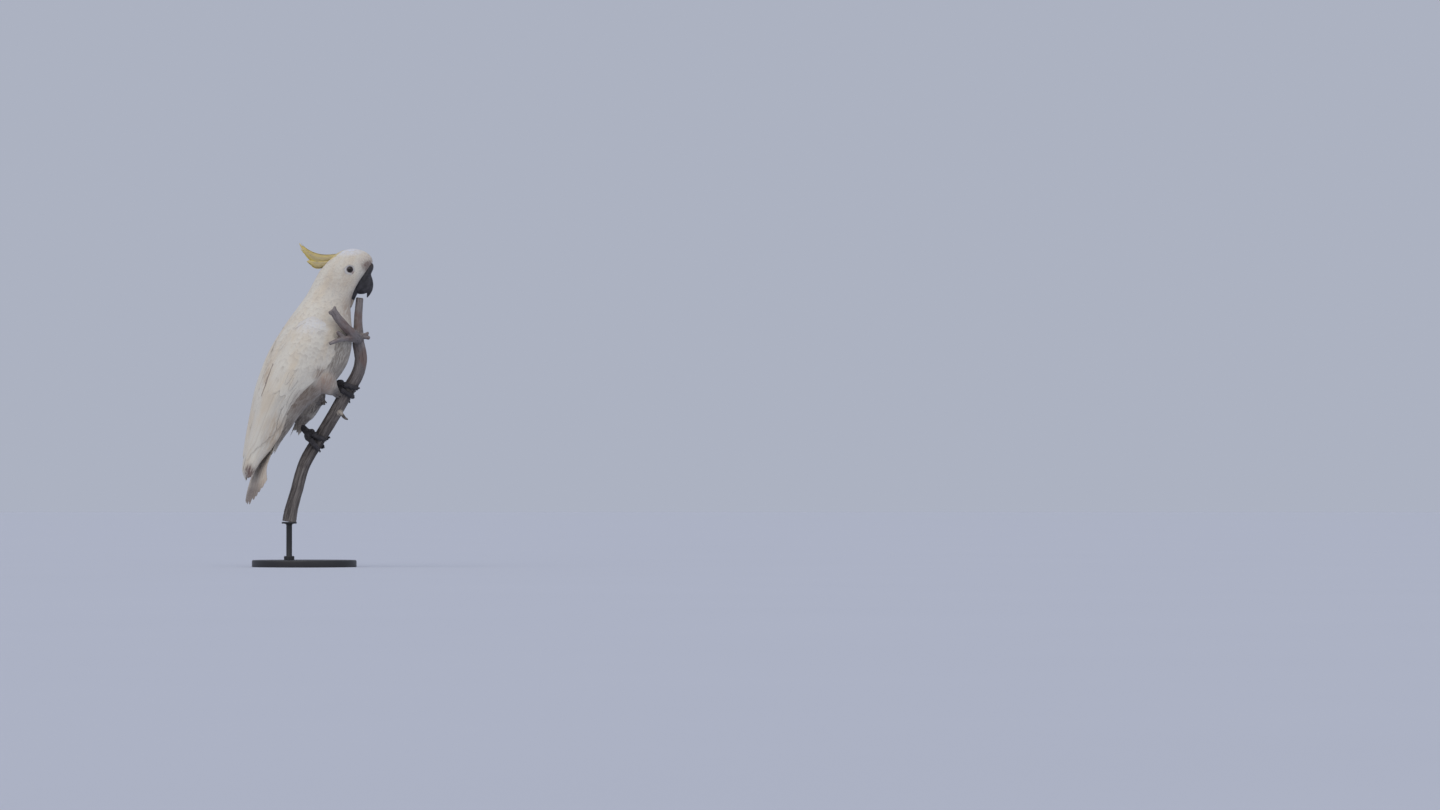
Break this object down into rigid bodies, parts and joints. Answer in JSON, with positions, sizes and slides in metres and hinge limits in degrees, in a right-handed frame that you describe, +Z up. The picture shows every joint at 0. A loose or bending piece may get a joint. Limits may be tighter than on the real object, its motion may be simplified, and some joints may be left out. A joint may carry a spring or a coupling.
{
  "type": "sulphur-crested cockatoo model",
  "caption": "Life-size still model of a white cockatoo with a folded yellow crest, gripping a forked length of dead branch on a round display stand.",
  "frame": {"origin": "centre of the flat underside of the stand's round base", "axes": "+Z up; +X the way the bird's head and bill point; +Y towards the bird's left side, so its right side faces -Y"},
  "size_m": [0.228, 0.18, 0.5598],
  "materials": {
    "white_feather": "soft matte white plumage, slightly soiled",
    "yellow_feather": "soft matte sulphur-yellow plumes",
    "bill_horn": "charcoal-grey horn, satin with powdery bloom",
    "claw_horn": "dark grey horn, satin",
    "foot_skin": "dark grey scaly skin, matte",
    "eye_brown": "wet, very dark brown",
    "dead_branch": "weathered grey-brown dead wood and bark, rough",
    "stand_paint": "plain dark satin paint"
  },
  "bodies": {
    "root": {"head": "white_feather", "neck": "white_feather", "trunk": "white_feather", "tail": "white_feather", "wing_right": "white_feather", "wing_left": "white_feather", "thigh_right": "white_feather", "thigh_left": "white_feather", "crest": "yellow_feather", "bill_upper": "bill_horn", "bill_lower": "bill_horn", "eye_right": "eye_brown", "eye_left": "eye_brown", "foot_right": "foot_skin", "foot_left": "foot_skin", "claw_inner_front_right": "claw_horn", "claw_outer_front_right": "claw_horn", "claw_inner_back_right": "claw_horn", "claw_outer_back_right": "claw_horn", "claw_inner_front_left": "claw_horn", "claw_outer_front_left": "claw_horn", "claw_inner_back_left": "claw_horn", "claw_outer_back_left": "claw_horn", "perch": "dead_branch", "stand_rod": "stand_paint", "stand_base": "stand_paint"}
  },
  "joints": []
}
